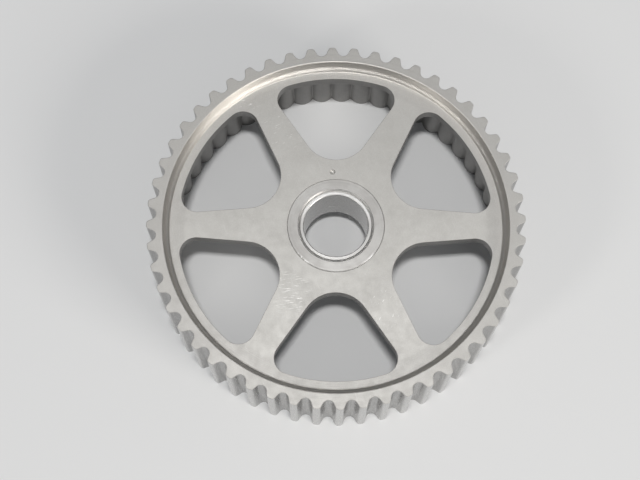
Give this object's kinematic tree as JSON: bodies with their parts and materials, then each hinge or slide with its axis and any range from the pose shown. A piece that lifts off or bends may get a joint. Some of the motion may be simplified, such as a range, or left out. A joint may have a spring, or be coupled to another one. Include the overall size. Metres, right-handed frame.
{
  "type": "timing belt pulley",
  "caption": "Toothed timing belt pulley with a recessed front face, a thin web of spokes between rounded windows, and a plain bushed bore.",
  "frame": {"origin": "on the bore axis, in the plane of the rim's back face, which the pulley lies on", "axes": "+Z along the bore axis, out of the recessed front face; +X along the middle of one spoke"},
  "size_m": [0.0816, 0.0816, 0.02],
  "materials": {
    "sintered_steel": "satin, as pressed and sized, light grey with a faint mottle",
    "hub_steel": "satin, turned, with fine concentric marks",
    "bush_steel": "bright smooth bore and ends"
  },
  "bodies": {
    "root": {"pulley_body": "sintered_steel", "hub": "hub_steel", "bore_bush": "bush_steel"}
  },
  "joints": []
}
